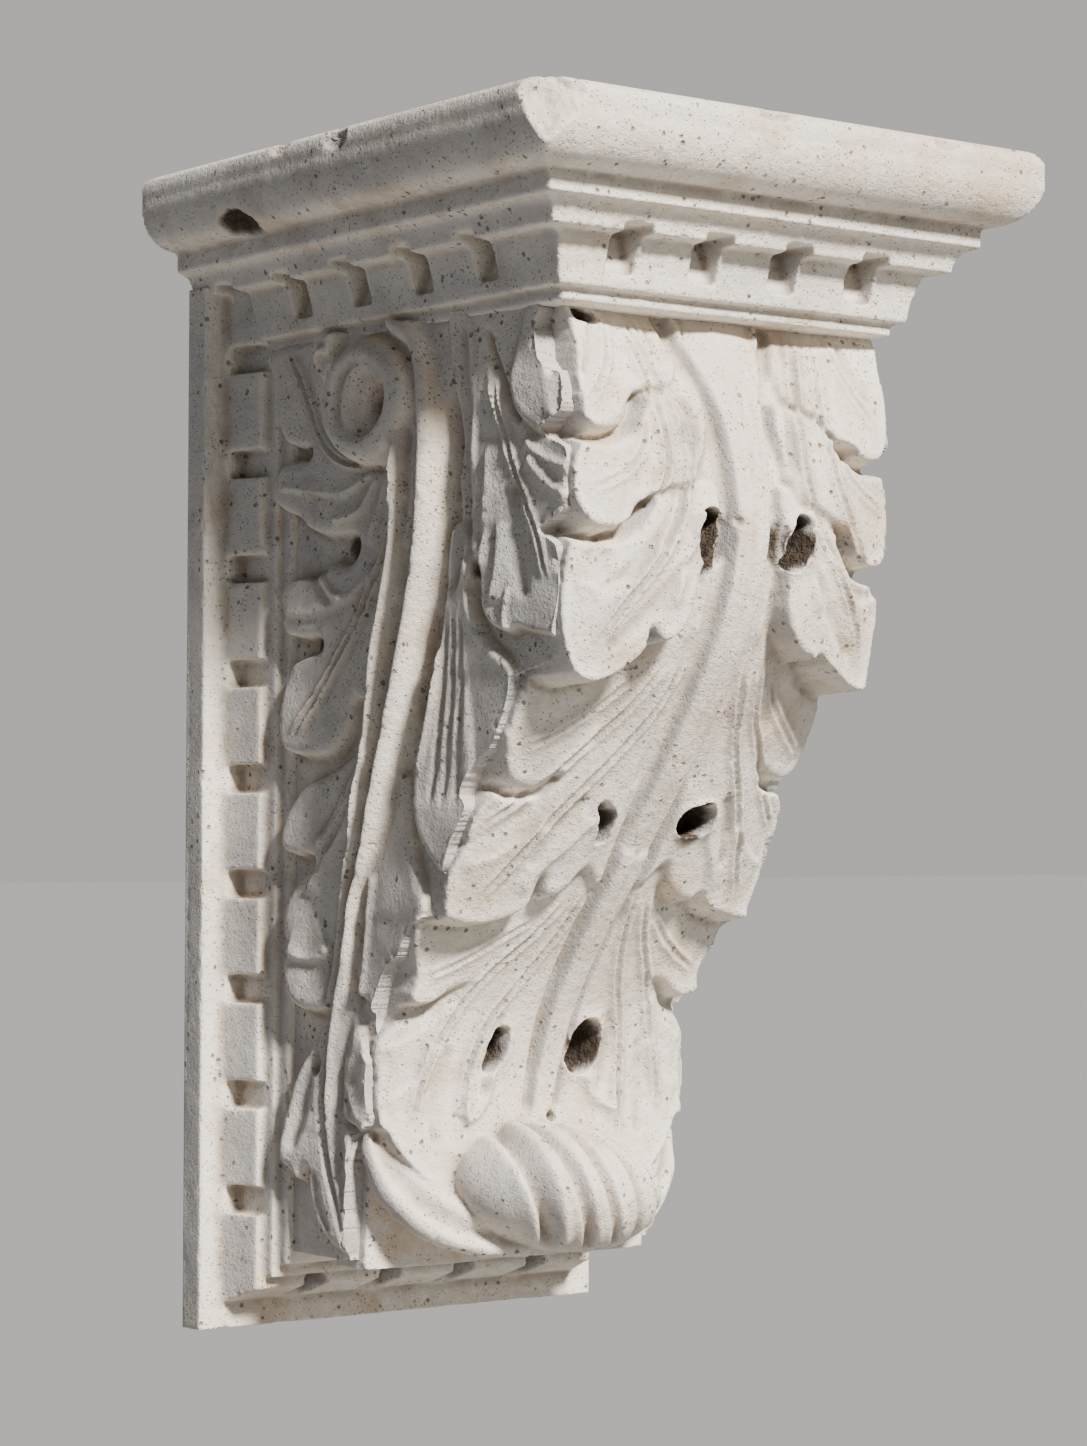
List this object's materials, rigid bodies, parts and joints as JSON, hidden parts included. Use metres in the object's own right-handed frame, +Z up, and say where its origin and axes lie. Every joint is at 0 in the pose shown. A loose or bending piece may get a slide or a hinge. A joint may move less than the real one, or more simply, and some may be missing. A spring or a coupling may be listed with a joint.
{
  "type": "stone corbel",
  "caption": "Carved stone wall corbel: a moulded dentil cap on an S-shaped bracket covered in acanthus leaves, with a dentilled back plate.",
  "frame": {"origin": "point on the flat back face that goes against the wall, in the middle of its width and about half-way up", "axes": "+X to the right when looking at the front, +Y into the wall, +Z up"},
  "size_m": [0.318, 0.347, 0.603],
  "materials": {
    "stone": "matt, weathered, finely pitted"
  },
  "bodies": {
    "root": {"corbel": "stone"}
  },
  "joints": []
}
